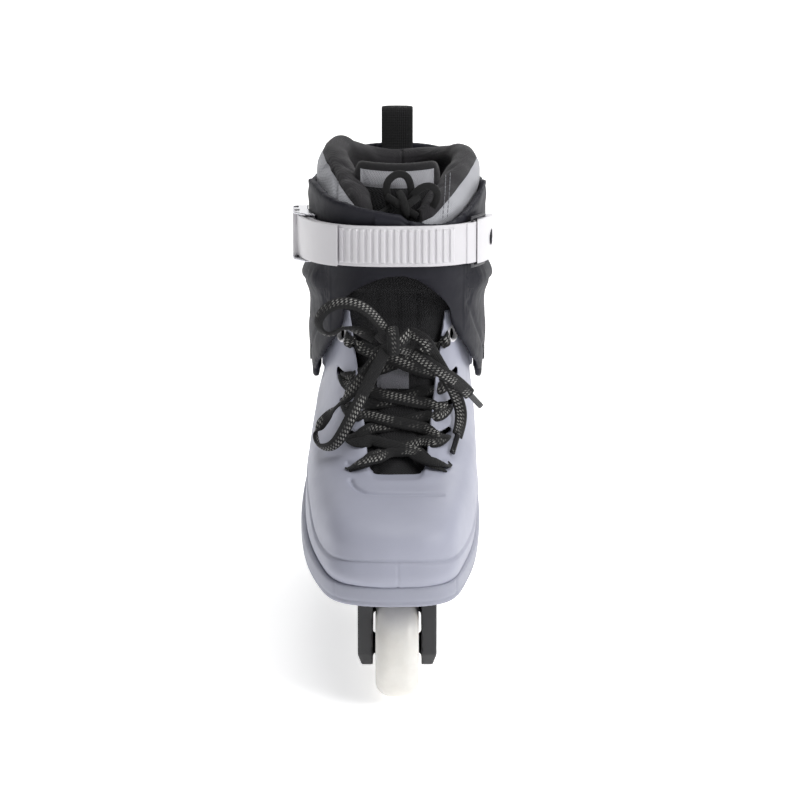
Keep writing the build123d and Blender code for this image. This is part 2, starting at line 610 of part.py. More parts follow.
KNOT = (-2.0, -44.5, 184.5)
KNOT_SIZE = (15.0, 8.0, 11.0)
LOOP_HIGH = [(-7, -46, 191.5), (-14, -51, 204), (-27, -53, 211), (-40, -51, 207), (-46, -49, 195),
             (-38, -47, 187), (-28, -46, 195), (-12.5, -44, 185.5)]
LOOP_LOW = [(-12, -52, 178), (-20, -58, 166), (-30, -56, 153), (-40, -50, 141), (-47, -50, 131),
            (-44, -61, 126), (-35, -72, 131), (-28, -73, 144), (-20, -68, 159), (-9, -57, 177)]
TAIL_LONG = [(7, -48, 190), (15, -54, 190), (21, -53, 178), (28, -49, 164), (34, -43, 150),
             (37, -45, 138), (34, -58, 133)]
TAIL_SHORT = [(9, -50, 179), (17, -58.5, 176), (26, -58.5, 170), (35, -50, 161), (41, -41, 151)]
LINER_LOOPS = [
    [(-4, -20, 257), (-8, -19, 267), (0, -17, 275), (8, -17, 271), (8, -19, 261)],
    [(6, -21, 257), (10, -23, 266), (19, -24, 270), (24, -23.5, 263), (20, -22, 256)],
]


def lace_y(x, z):
    """How far forward a lace lies, with more room low down, where the shell slopes less."""
    return front_y(BOOT, z, x) - LACE_LIFT - 0.16 * max(0.0, 133 - z)


def lace_ends(z):
    """Where the lace leaves the shell at one level, on the outer and inner side."""
    x = EYELET_X - 4 if z == EYELET_Z else throat_half(z) + 6
    return [(side * x, lace_y(side * x, z), z) for side in (-1, 1)]


def crossing(start, end, lift):
    """A lace from one side of the throat to the other, lying just over the shell."""
    points = []
    for share in (0.0, 0.22, 0.5, 0.78, 1.0):
        x, z = (start[i] + (end[i] - start[i]) * share for i in (0, 2))
        points.append(Vector(x, lace_y(x, z) - lift * math.sin(math.pi * share), z))
    path = Spline(*points)
    return sweep(Plane(path @ 0, z_dir=path % 0) * Circle(LACE_D / 2), path=path)


def make_laces():
    levels = LACE_ROWS + [EYELET_Z]
    rows = []
    for low, high in zip(levels, levels[1:]):
        (out_low, in_low), (out_high, in_high) = lace_ends(low), lace_ends(high)
        rows.append(crossing(out_low, in_high, 0.0))
        rows.append(crossing(in_low, out_high, LACE_D + 0.6))
    save("lace_rows", *rows)
    knot = Pos(*KNOT) * Box(*KNOT_SIZE)
    save("lace_knot", fillet(knot.edges(), 3.5))
    save("lace_loop_high", cord(LOOP_HIGH, LACE_D, "lace_loop_high"))
    save("lace_loop_low", cord(LOOP_LOW, LACE_D, "lace_loop_low"))
    save("lace_tail_long", cord(TAIL_LONG, LACE_D, "lace_tail_long"))
    save("lace_tail_short", cord(TAIL_SHORT, LACE_D, "lace_tail_short"))
    tips = []
    for route in (TAIL_LONG, TAIL_SHORT):
        before, end = Vector(*route[-2]), Vector(*route[-1])
        along = (end - before).normalized()
        tips.append(extrude(Plane(end + along * 0.2, z_dir=along) * Circle(1.9), 15.0))
    save("lace_tips", *tips)
    save("liner_laces", *[cord(route, LINER_LACE_D, "liner_laces") for route in LINER_LOOPS])


if __name__ == "__main__":
    os.makedirs("parts", exist_ok=True)
    make_wheels()
    make_frame()
    make_sole()
    make_shell()
    make_liner()
    make_collar()
    make_pull_tab()
    make_cuff()
    make_strap()
    make_buckle()
    make_anchor()
    make_laces()
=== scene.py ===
import bpy, bmesh, math
import numpy as np
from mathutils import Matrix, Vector
from mathutils.bvhtree import BVHTree


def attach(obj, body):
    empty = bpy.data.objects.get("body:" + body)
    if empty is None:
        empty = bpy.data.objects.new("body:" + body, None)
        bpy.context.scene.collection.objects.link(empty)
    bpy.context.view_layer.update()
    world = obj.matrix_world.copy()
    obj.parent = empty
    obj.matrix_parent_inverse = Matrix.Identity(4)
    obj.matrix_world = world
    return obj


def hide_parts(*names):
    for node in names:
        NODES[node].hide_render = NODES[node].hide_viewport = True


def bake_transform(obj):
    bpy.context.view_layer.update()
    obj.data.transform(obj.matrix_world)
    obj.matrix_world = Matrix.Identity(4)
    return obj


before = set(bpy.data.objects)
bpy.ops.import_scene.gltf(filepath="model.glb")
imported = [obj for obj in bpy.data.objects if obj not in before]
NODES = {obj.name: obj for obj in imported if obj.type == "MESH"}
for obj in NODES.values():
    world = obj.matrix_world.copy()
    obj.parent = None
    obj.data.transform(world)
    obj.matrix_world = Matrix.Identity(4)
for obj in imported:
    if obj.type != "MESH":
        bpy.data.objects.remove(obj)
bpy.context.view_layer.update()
SCENE = bpy.context.scene
MM = 0.001


# ---- node graphs ---------------------------------------------------------------------
class Graph:
    """A material's node tree, with short names for the nodes that this scene uses."""

    def __init__(self, name):
        self.material = bpy.data.materials.new(name)
        self.material.use_nodes = True
        self.tree = self.material.node_tree
        self.tree.nodes.clear()
        self.shader = self.tree.nodes.new("ShaderNodeBsdfPrincipled")
        output = self.tree.nodes.new("ShaderNodeOutputMaterial")
        self.tree.links.new(self.shader.outputs[0], output.inputs[0])

    def feed(self, socket, value):
        if isinstance(value, bpy.types.NodeSocket):
            self.tree.links.new(value, socket)
        else:
            socket.default_value = value

    def math(self, kind, a, b=0.0, c=0.0):
        node = self.tree.nodes.new("ShaderNodeMath")
        node.operation = kind
        for socket, value in zip(node.inputs, (a, b, c)):
            self.feed(socket, value)
        return node.outputs[0]

    def place(self, uv=False):
        node = self.tree.nodes.new("ShaderNodeTexCoord")
        return node.outputs["UV" if uv else "Object"]

    def axes(self, vector):
        node = self.tree.nodes.new("ShaderNodeSeparateXYZ")
        self.feed(node.inputs[0], vector)
        return node.outputs[0], node.outputs[1], node.outputs[2]

    def noise(self, vector, scale, detail=2.0, rough=0.5):
        node = self.tree.nodes.new("ShaderNodeTexNoise")
        self.feed(node.inputs["Vector"], vector)
        node.inputs["Scale"].default_value = scale
        node.inputs["Detail"].default_value = detail
        node.inputs["Roughness"].default_value = rough
        return node.outputs[0]

    def ramp(self, value, low, high, out_low=0.0, out_high=1.0):
        node = self.tree.nodes.new("ShaderNodeMapRange")
        for socket, number in zip(node.inputs[:5], (value, low, high, out_low, out_high)):
            self.feed(socket, number)
        return node.outputs[0]

    def mix(self, share, a, b):
        node = self.tree.nodes.new("ShaderNodeMix")
        node.data_type = "RGBA"
        self.feed(node.inputs[0], share)
        self.feed(node.inputs[6], a)
        self.feed(node.inputs[7], b)
        return node.outputs[2]

    def bump(self, height, depth, strength=1.0, under=None):
        node = self.tree.nodes.new("ShaderNodeBump")
        node.inputs["Strength"].default_value = strength
        node.inputs["Distance"].default_value = depth
        self.feed(node.inputs["Height"], height)
        if under is not None:
            self.feed(node.inputs["Normal"], under)
        return node.outputs[0]

    def edges(self):
        node = self.tree.nodes.new("ShaderNodeNewGeometry")
        return node.outputs["Pointiness"]


def tint(red, green, blue, factor=1.0):
    """A colour given as it looks on a screen, 0 to 255, as the linear colour a shader takes."""
    shares = (red / 255, green / 255, blue / 255)
    linear = [c / 12.92 if c < 0.0404 else ((c + 0.055) / 1.055) ** 2.4 for c in shares]
    return (*(min(1.0, c * factor) for c in linear), 1.0)


def moulding(name, rgb, rough, metal=0.0, mottle=0.05, grain=0.00004, grain_scale=1400.0, wear=0.0, coat=0.0,
             specular=0.5, scratches=0.0):
    """Moulded plastic or metal: faint cloudy colour, a fine grain, and paler or brighter worn edges."""
    g = Graph(name)
    at = g.place()
    cloud = g.noise(at, 35.0, 4.0, 0.6)
    colour = g.mix(g.ramp(cloud, 0.35, 0.65), tint(*rgb, 1 - mottle), tint(*rgb, 1 + mottle))
    if wear:
        worn = g.math("MULTIPLY", g.ramp(g.edges(), 0.53, 0.60), g.ramp(g.noise(at, 260.0, 3.0), 0.42, 0.62))
        pale = [min(255, c + (255 - c) * 0.35) for c in rgb]
        colour = g.mix(g.math("MULTIPLY", worn, wear), colour, tint(*pale))
    g.feed(g.shader.inputs["Base Color"], colour)
    patches = g.noise(at, 120.0, 5.0, 0.7)
    g.feed(g.shader.inputs["Roughness"], g.ramp(patches, 0.3, 0.7, rough * 0.86, rough * 1.14))
    g.shader.inputs["Metallic"].default_value = metal
    g.shader.inputs["Specular IOR Level"].default_value = specular
    if coat:
        g.shader.inputs["Coat Weight"].default_value = coat
        g.shader.inputs["Coat Roughness"].default_value = 0.15
    normal = g.bump(g.noise(at, grain_scale, 3.0, 0.6), grain, 0.6)
    if scratches:
        x, y, z = g.axes(at)
        node = g.tree.nodes.new("ShaderNodeCombineXYZ")
        for socket, value in zip(node.inputs, (g.math("MULTIPLY", x, 60.0), g.math("MULTIPLY", y, 60.0),
                                               g.math("MULTIPLY", z, 1500.0))):
            g.feed(socket, value)
        normal = g.bump(g.noise(node.outputs[0], 1.0, 2.0), scratches, 0.5, normal)
    g.feed(g.shader.inputs["Normal"], normal)
    return g.material


def cloth(name, rgb, pitch=0.0009, depth=0.0002, rough=0.85, sheen=0.3, mottle=0.08, knit=False):
    """A woven or knitted cover: two crossing sets of threads, with loose fibre in the colour."""
    g = Graph(name)
    at = g.place()
    x, y, z = g.axes(at)
    round_it = g.math("MULTIPLY", g.math("ADD", x, g.math("MULTIPLY", y, 0.8)), 2 * math.pi / pitch)
    up = g.math("MULTIPLY", z, 2 * math.pi / pitch)
    if knit:
        round_it = g.math("ADD", round_it, g.math("MULTIPLY", g.math("SINE", up), 0.8))
    threads = g.math("MULTIPLY", g.math("SINE", round_it), g.math("SINE", up))
    fibre = g.noise(at, 2600.0, 2.0)
    cloud = g.ramp(g.noise(at, 45.0, 4.0, 0.6), 0.3, 0.7, 0.0, 0.6)
    shade = g.math("ADD", cloud, g.ramp(threads, -1.0, 1.0, 0.0, 0.4))
    g.feed(g.shader.inputs["Base Color"], g.mix(shade, tint(*rgb, 1 - 1.6 * mottle), tint(*rgb, 1 + mottle)))
    g.feed(g.shader.inputs["Roughness"], g.ramp(fibre, 0.3, 0.7, rough * 0.9, min(1.0, rough * 1.1)))
    g.shader.inputs["Sheen Weight"].default_value = sheen
    g.shader.inputs["Sheen Roughness"].default_value = 0.5
    normal = g.bump(fibre, depth * 0.4, 0.5)
    g.feed(g.shader.inputs["Normal"], g.bump(threads, depth, 0.8, normal))
    return g.material


def braid(name, rgb, fleck=None, pitch=1.6, fleck_pitch=2.4):
    """A flat braid. The UVs run along it and across it, in millimetres."""
    g = Graph(name)
    u, v, _ = g.axes(g.place(uv=True))
    one = g.math("SINE", g.math("MULTIPLY", g.math("ADD", u, v), 2 * math.pi / pitch))
    two = g.math("SINE", g.math("MULTIPLY", g.math("SUBTRACT", u, v), 2 * math.pi / pitch))
    threads = g.math("MULTIPLY", one, two)
    colour = g.mix(g.ramp(threads, -1.0, 1.0), tint(*rgb, 0.75), tint(*rgb, 1.25))
    if fleck:
        for row, shift, share in ((1.7, 0.0, 1.0), (0.35, 0.5, 0.9), (-0.9, 0.0, 0.35)):
            slanted = g.math("ADD", u, g.math("MULTIPLY", v, 0.8))
            along = g.math("FRACT", g.math("ADD", g.math("DIVIDE", slanted, fleck_pitch), 100.0 + shift))
            dash = g.math("LESS_THAN", along, 0.42)
            inside = g.math("LESS_THAN", g.math("ABSOLUTE", g.math("SUBTRACT", v, row)), 0.5)
            patchy = g.ramp(g.noise(g.place(), 55.0, 2.0), 0.44, 0.54)
            amount = g.math("MULTIPLY", g.math("MULTIPLY", dash, inside), patchy)
            colour = g.mix(g.math("MULTIPLY", amount, 0.85 * share), colour, tint(*fleck))
    g.feed(g.shader.inputs["Base Color"], colour)
    g.shader.inputs["Roughness"].default_value = 0.8
    g.shader.inputs["Sheen Weight"].default_value = 0.04
    fibre = g.noise(g.place(), 3000.0, 2.0)
    g.feed(g.shader.inputs["Normal"], g.bump(threads, 0.00025, 0.9, g.bump(fibre, 0.00006, 0.6)))
    return g.material


def urethane():
    """Cast wheel rubber: off-white, slightly see-through, a little scuffed where it rolls."""
    g = Graph("wheel_urethane")
    at = g.place()
    cloud = g.ramp(g.noise(at, 50.0, 5.0, 0.6), 0.35, 0.7)
    g.feed(g.shader.inputs["Base Color"], g.mix(cloud, tint(236, 234, 229), tint(224, 221, 215)))
    g.feed(g.shader.inputs["Roughness"], g.ramp(g.noise(at, 300.0, 4.0), 0.3, 0.7, 0.3, 0.45))
    g.shader.inputs["Subsurface Weight"].default_value = 0.2
    g.shader.inputs["Subsurface Radius"].default_value = (0.004, 0.0035, 0.003)
    g.feed(g.shader.inputs["Normal"], g.bump(g.noise(at, 900.0, 3.0), 0.00003, 0.5))
    return g.material


SHELL = moulding("shell_plastic", (167, 169, 184), 0.46, mottle=0.025, grain=0.00003, wear=0.25, specular=0.4)
SOLE_PLASTIC = moulding("sole_plastic", (158, 160, 174), 0.48, mottle=0.025, grain=0.00003, wear=0.3,
                        specular=0.4)
CUFF_PLASTIC = moulding("cuff_plastic", (36, 36, 43), 0.58, grain=0.00005, wear=0.3, specular=0.16)
FRAME_PLASTIC = moulding("frame_plastic", (33, 33, 36), 0.42, mottle=0.06, wear=0.4)
STRAP_PLASTIC = moulding("strap_plastic", (216, 214, 218), 0.36, mottle=0.015, grain=0.00001, coat=0.12)
CHROME = moulding("buckle_chrome", (205, 205, 210), 0.2, metal=1.0, mottle=0.03, scratches=0.00002)
STEEL = moulding("fastener_steel", (150, 150, 154), 0.3, metal=1.0, mottle=0.05, scratches=0.00003)
DARK_STEEL = moulding("black_steel", (52, 52, 56), 0.36, metal=0.85, mottle=0.06)
HUB = moulding("hub_nylon", (232, 230, 226), 0.4, mottle=0.03)
INSERT = moulding("slide_plastic", (150, 152, 165), 0.36, mottle=0.03, wear=0.3)
FOAM_BOARD = moulding("board_foam", (60, 60, 64), 0.9, mottle=0.12, grain=0.0002, grain_scale=900.0)
LINER_BLACK = cloth("liner_black", (33, 31, 35), pitch=0.0011, depth=0.00015, sheen=0.12)
LINER_SILVER = cloth("liner_silver", (172, 173, 179), pitch=0.0014, depth=0.00018, rough=0.62, sheen=0.2,
                     mottle=0.05)
TONGUE_GREY = cloth("tongue_grey", (160, 160, 166), pitch=0.0012, depth=0.00018, rough=0.7, knit=True)
TONGUE_PATCH = cloth("tongue_patch", (116, 116, 123), pitch=0.0012, depth=0.00018, rough=0.7, knit=True)
TONGUE_DARK = cloth("tongue_dark", (17, 17, 20), pitch=0.0016, depth=0.0003, sheen=0.06, knit=True)
BINDING = cloth("binding_black", (20, 19, 22), pitch=0.0008, depth=0.00012, sheen=0.08)
STITCH = cloth("thread", (120, 121, 127), pitch=0.0006, depth=0.00008)
LACE = braid("lace_braid", (11, 11, 13), (170, 169, 166))
LACE_TIP = moulding("lace_tip_plastic", (26, 26, 29), 0.25, mottle=0.05)
LINER_LACE = braid("liner_lace_braid", (9, 9, 11), None, pitch=1.1)
WEBBING = braid("pull_webbing", (9, 9, 11), None, pitch=1.9)
# painted highlight: the near-white eyelet colour stands in for the light caught on the rims of the top lace
# holes
EYELET_HIGHLIGHT = moulding("eyelet_painted_highlight", (226, 225, 228), 0.35, mottle=0.02)
URETHANE = urethane()


# ---- mesh helpers --------------------------------------------------------------------
def put(name, mesh):
    thing = bpy.data.objects.new(name, mesh)
    SCENE.collection.objects.link(thing)
    return thing


def cad_copy(name, *nodes):
    """A new object with the shape of these CAD nodes, in the row frame."""
    bm = bmesh.new()
    for node in nodes:
        mesh = NODES[node].data.copy()
        mesh.transform(NODES[node].matrix_world)
        bm.from_mesh(mesh)
        bpy.data.meshes.remove(mesh)
    bmesh.ops.remove_doubles(bm, verts=bm.verts, dist=0.01 * MM)
    mesh = bpy.data.meshes.new(name)
    bm.to_mesh(mesh)
    bm.free()
    mesh.materials.clear()
    return put(name, mesh)


def applied(thing):
    """Replaces an object's mesh with what its modifiers make of it."""
    graph = bpy.context.evaluated_depsgraph_get()
    made = bpy.data.meshes.new_from_object(thing.evaluated_get(graph))
    old = thing.data
    thing.modifiers.clear()
    thing.data = made
    if old.users == 0:
        bpy.data.meshes.remove(old)
    return thing


def remesh(thing, voxel, rounds=4, factor=0.5):
    """An even skin over a solid, with its sharp edges rounded off."""
    even = thing.modifiers.new("even", "REMESH")
    even.mode = "VOXEL"
    even.voxel_size = voxel * MM
    if rounds:
        soft = thing.modifiers.new("soft", "SMOOTH")
        soft.factor = factor
        soft.iterations = rounds
    return applied(thing)


def coordinates(mesh):
    at = np.empty(len(mesh.vertices) * 3)
    mesh.vertices.foreach_get("co", at)
    return at.reshape(-1, 3) / MM


def normals(mesh):
    out = np.empty(len(mesh.vertices) * 3)
    mesh.vertices.foreach_get("normal", out)
    return out.reshape(-1, 3)


def set_coordinates(mesh, at):
    mesh.vertices.foreach_set("co", (at * MM).ravel())
    mesh.update()


def push(thing, amount):
    """Moves each vertex along its normal by amount(x, y, z, normals), in millimetres."""
    at, out = coordinates(thing.data), normals(thing.data)
    move = amount(at[:, 0], at[:, 1], at[:, 2], out)
    set_coordinates(thing.data, at + out * move[:, None])
    return thing


def fade(value, start, end):
    share = np.clip((value - start) / (end - start), 0.0, 1.0)
    return share * share * (3 - 2 * share)


def hump(value, centre, half):
    """1 at the centre, falling to 0 at half away from it."""
    return 1 - fade(np.abs(value - centre), 0.0, half)


def away(x, y, points):
    """The distance from each point to a line through points, in a plane."""
    best = np.full(len(x), 1e9)
    for (x0, y0), (x1, y1) in zip(points, points[1:]):
        dx, dy = x1 - x0, y1 - y0
        share = np.clip(((x - x0) * dx + (y - y0) * dy) / (dx * dx + dy * dy), 0, 1)
        best = np.minimum(best, np.hypot(x - x0 - share * dx, y - y0 - share * dy))
    return best


def curve_through(points, steps=10):
    """A smooth curve through points, for a groove or a seam."""
    p = [Vector(points[0])] + [Vector(q) for q in points] + [Vector(points[-1])]
    out = []
    for a, b, c, d in zip(p, p[1:], p[2:], p[3:]):
        for k in range(steps):
            t = k / steps
            out.append(0.5 * ((2 * b) + (c - a) * t + (2 * a - 5 * b + 4 * c - d) * t * t
                              + (3 * b - a - 3 * c + d) * t ** 3))
    out.append(p[-1])
    return [tuple(q) for q in out]


def dress(thing, material, body, slot, *replaced):
    """Gives a finished piece its material and its body, and hides what it stands for."""
    if material is not None:
        thing.data.materials.clear()
        thing.data.materials.append(material)
    if thing.type == "MESH":
        thing.data.shade_smooth()
    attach(thing, body)
    if replaced:
        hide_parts(*replaced)
    return thing


def paint(thing, *choices):
    """Several materials on one mesh. A choice is (material, test), where test takes face centres."""
    mesh = thing.data
    mesh.materials.clear()
    centres = np.empty(len(mesh.polygons) * 3)
    mesh.polygons.foreach_get("center", centres)
    centres = centres.reshape(-1, 3) / MM
    index = np.zeros(len(mesh.polygons), dtype=np.int32)
    for k, (material, test) in enumerate(choices):
        mesh.materials.append(material)
        if test is not None:
            index[test(centres[:, 0], centres[:, 1], centres[:, 2])] = k
    mesh.polygons.foreach_set("material_index", index)


def surface_of(*things):
    """A search tree over the faces of finished pieces, to lay other pieces on."""
    verts, faces = [], []
    for thing in things:
        start = len(verts)
        verts += [Vector(v.co) for v in thing.data.vertices]
        faces += [[start + i for i in p.vertices] for p in thing.data.polygons]
    return BVHTree.FromPolygons(verts, faces)


# ---- ribbons -------------------------------------------------------------------------
def spline_points(route, resolution=12):
    """Points along the smooth line that a route's points control, in metres."""
    curve = bpy.data.curves.new("line", "CURVE")
    curve.dimensions = "3D"
    spline = curve.splines.new("NURBS")
    spline.points.add(len(route) - 1)
    for point, at in zip(spline.points, route):
        point.co = (*(c * MM for c in at), 1.0)
    spline.order_u = 3
    spline.use_endpoint_u = True
    spline.resolution_u = resolution
    thing = bpy.data.objects.new("line", curve)
    mesh = bpy.data.meshes.new_from_object(thing)
    points = [v.co.copy() for v in mesh.vertices]
    bpy.data.objects.remove(thing)
    bpy.data.meshes.remove(mesh)
    bpy.data.curves.remove(curve)
    return points


def ribbon(name, line, outward, width, thick, cup=0.12, ends=True):
    """A flat braid along a line in metres. outward gives the direction its face looks at each point."""
    count = len(line)
    tangents = [(line[min(i + 1, count - 1)] - line[max(i - 1, 0)]).normalized() for i in range(count)]
    faces_to = []
    for i in range(count):
        out = Vector(outward[i])
        out = (out - tangents[i] * out.dot(tangents[i]))
        faces_to.append(out.normalized() if out.length > 1e-6 else faces_to[-1])
    for _ in range(3):
        faces_to = [(faces_to[max(i - 1, 0)] + faces_to[i] * 2 + faces_to[min(i + 1, count - 1)]).normalized()
                    for i in range(count)]
    sides = 12
    bm = bmesh.new()
    uv = bm.loops.layers.uv.new("UVMap")
    rings, distance, travelled = [], [], 0.0
    for i in range(count):
        if i:
            travelled += (line[i] - line[i - 1]).length / MM
        distance.append(travelled)
        across = tangents[i].cross(faces_to[i]).normalized()
        out = across.cross(tangents[i]).normalized()
        ring = []
        for k in range(sides):
            angle = 2 * math.pi * k / sides
            c, s = math.cos(angle), math.sin(angle)
            w = width / 2 * math.copysign(abs(c) ** 0.75, c)
            t = thick / 2 * math.copysign(abs(s) ** 0.8, s) - cup * width * (2 * w / width) ** 2 * 0.5
            ring.append(bm.verts.new(line[i] + (across * w + out * t) * MM))
        rings.append(ring)
    for i in range(count - 1):
        for k in range(sides):
            near, far = k, (k + 1) % sides
            face = bm.faces.new((rings[i][near], rings[i][far], rings[i + 1][far], rings[i + 1][near]))
            for loop, (step, at) in zip(face.loops, ((i, near), (i, far), (i + 1, far), (i + 1, near))):
                angle = 2 * math.pi * at / sides
                loop[uv].uv = (distance[step], width / 2 * math.cos(angle))
    if ends:
        for ring in (rings[0][::-1], rings[-1]):
            face = bm.faces.new(ring)
            for loop in face.loops:
                loop[uv].uv = (0.0, 0.0)
    mesh = bpy.data.meshes.new(name)
    bm.to_mesh(mesh)
    bm.free()
    return put(name, mesh)


def facing(line, tree):
    """The way the surface under each point looks, so that a ribbon lies flat on it."""
    out = []
    for p in line:
        _, normal, _, _ = tree.find_nearest(p)
        out.append(Vector(normal))
    return out


def joined(name, *things):
    bm = bmesh.new()
    for thing in things:
        bm.from_mesh(thing.data)
    mesh = bpy.data.meshes.new(name)
    bm.to_mesh(mesh)
    bm.free()
    for thing in things:
        old = thing.data
        bpy.data.objects.remove(thing)
        bpy.data.meshes.remove(old)
    return put(name, mesh)


def stitches(name, line, outward, length=2.6, gap=1.3, radius=0.28):
    """A row of short raised threads along a line in metres."""
    bm = bmesh.new()
    travelled, start = 0.0, None
    for i in range(len(line) - 1):
        step = (line[i + 1] - line[i])
        travelled += step.length / MM
        if start is None:
            start = i
        if travelled >= length:
            a, b = line[start], line[i + 1]
            along = (b - a).normalized()
            out = Vector(outward[i]).normalized()
            across = along.cross(out).normalized()
            rings = []
            for share, swell in ((0.0, 0.35), (0.25, 1.0), (0.75, 1.0), (1.0, 0.35)):
                centre = a.lerp(b, share) + out * (0.12 * MM)
                angles = [k * math.pi / 3 for k in range(6)]
                rings.append([bm.verts.new(centre + (across * math.cos(t) + out * math.sin(t))
                                           * radius * swell * MM) for t in angles])
            for one, two in zip(rings, rings[1:]):
                for k in range(6):
                    bm.faces.new((one[k], one[(k + 1) % 6], two[(k + 1) % 6], two[k]))
            bm.faces.new(rings[0][::-1])
            bm.faces.new(rings[-1])
            travelled, start = -gap, None
        elif travelled < 0:
            start = None
    mesh = bpy.data.meshes.new(name)
    bm.to_mesh(mesh)
    bm.free()
    return put(name, mesh)


# ---- hard parts ----------------------------------------------------------------------
def make_shell():
    shell = remesh(cad_copy("boot_shell", "shell"), 0.9, 5)
    band = curve_through([(-49, 97), (-44, 90), (-30, 91.5), (0, 92.5), (28, 91), (42, 88.5), (47, 96)])
    band_top = np.array(band)

    def relief(x, y, z, n):
        outside = fade(n[:, 1] * (y < 0) * -1 + np.abs(n[:, 0]) + np.maximum(n[:, 2], 0), 0.2, 0.5)
        front = 1 - fade(y, -30.0, 20.0)
        # the rand along the bottom edge, with a groove above it
        line = np.interp(x, band_top[:, 0], band_top[:, 1]) + fade(y, -100.0, -20.0) * 3.0
        move = -0.9 * hump(z, line, 1.6) * outside * (1 - fade(y, 60, 100))
        move += 0.5 * fade(line - z, 0.5, 2.0) * (1 - fade(y, 60, 110))
        # the moulding seam in the middle of the toe
        move -= 0.35 * hump(x, 0.4, 0.9) * (z < line) * (y < -120)
        # the raised rim of the laced opening and the pressed groove in front of it
        groove = curve_through([(-26.0, -96), (-23.5, -104), (-17, -111), (-4, -113), (10, -113), (25, -112)])
        on_top = fade(n[:, 2], 0.25, 0.55)
        move -= 1.7 * np.exp(-(away(x, y, groove) / 1.3) ** 2) * on_top * (1 - 0.75 * fade(x, 14, 28))
        rim = curve_through([(-22, -60), (-20, -86), (-14, -98), (0, -100), (15, -98), (22, -86),
                             (24, -60)])
        move += 0.7 * np.exp(-(away(x, y, rim) / 4.0) ** 2) * on_top * front
        return move

    push(shell, relief)
    return dress(shell, SHELL, "boot", "shell_grey", "shell")


def make_sole():
    sole = remesh(cad_copy("sole_plate", "soleplate"), 0.9, 4)

    def relief(x, y, z, n):
        side = fade(np.hypot(n[:, 0], n[:, 1]), 0.6, 0.9)
        move = -0.6 * hump(z, 69.2, 1.0) * side
        for at in (-34.5, 33.0):
            move -= 0.5 * hump(x, at, 1.0) * side * (y < -120)
        return move

    push(sole, relief)
    dress(sole, SOLE_PLASTIC, "boot", "shell_grey", "soleplate")
    insert = remesh(cad_copy("slide_insert", "outer_slide_insert"), 0.7, 4)
    dress(insert, INSERT, "boot", "shell_grey", "outer_slide_insert")


# the lower edge of the front flaps, over the throat, as (x, z)
CUFF_ARCH = [(-30, 203), (-25, 208.5), (-19, 212.5), (-13, 215.5), (-6, 218.5), (4, 219),
             (10, 217), (16, 213), (20, 209.5), (24, 205.5), (27, 202), (30, 197)]
# how far the top rim rises or drops, as (x, mm)
CUFF_RIM = [(-50, 0), (-40, 1.5), (-27, 3.5), (-12, 1.5), (2, -1.0), (6, -4.5), (18, -7.5),
            (30, -8.5), (46, -5), (50, -1)]
LEDGE_LOW, LEDGE_HIGH = 178, 231


def smooth_ledges(cuff):
    """Turns the boxy ledges under the strap into wings that swell out of the side walls."""
    at = coordinates(cuff.data)
    x, y, z = at.T
    tree = surface_of(cuff)
    walls = {}
    for i in np.nonzero((np.abs(x) > 34) & (z > LEDGE_LOW) & (z < LEDGE_HIGH - 1) & (y > -17) & (y < 60))[0]:
        side, row = math.copysign(1.0, x[i]), round(y[i])
        if (side, row) not in walls:
            inward = Vector((-side, 0, 0))
            walls[side, row] = [abs(tree.ray_cast(Vector((side * 200, row, level)) * MM, inward)[0].x) / MM
                                for level in (LEDGE_LOW, LEDGE_HIGH)]
        low, high = walls[side, row]
        wall = low + (high - low) * (z[i] - LEDGE_LOW) / (LEDGE_HIGH - LEDGE_LOW)
        if abs(x[i]) > wall - 0.8:
            swell = math.exp(-((z[i] - 206 + 0.23 * y[i]) / 8.0) ** 2)
            wing = swell * float(fade(y[i], -17.0, -2.0) * (1 - fade(y[i], 38.0, 58.0)))
            at[i, 0] = side * (wall + 4.6 * wing)
    set_coordinates(cuff.data, at)


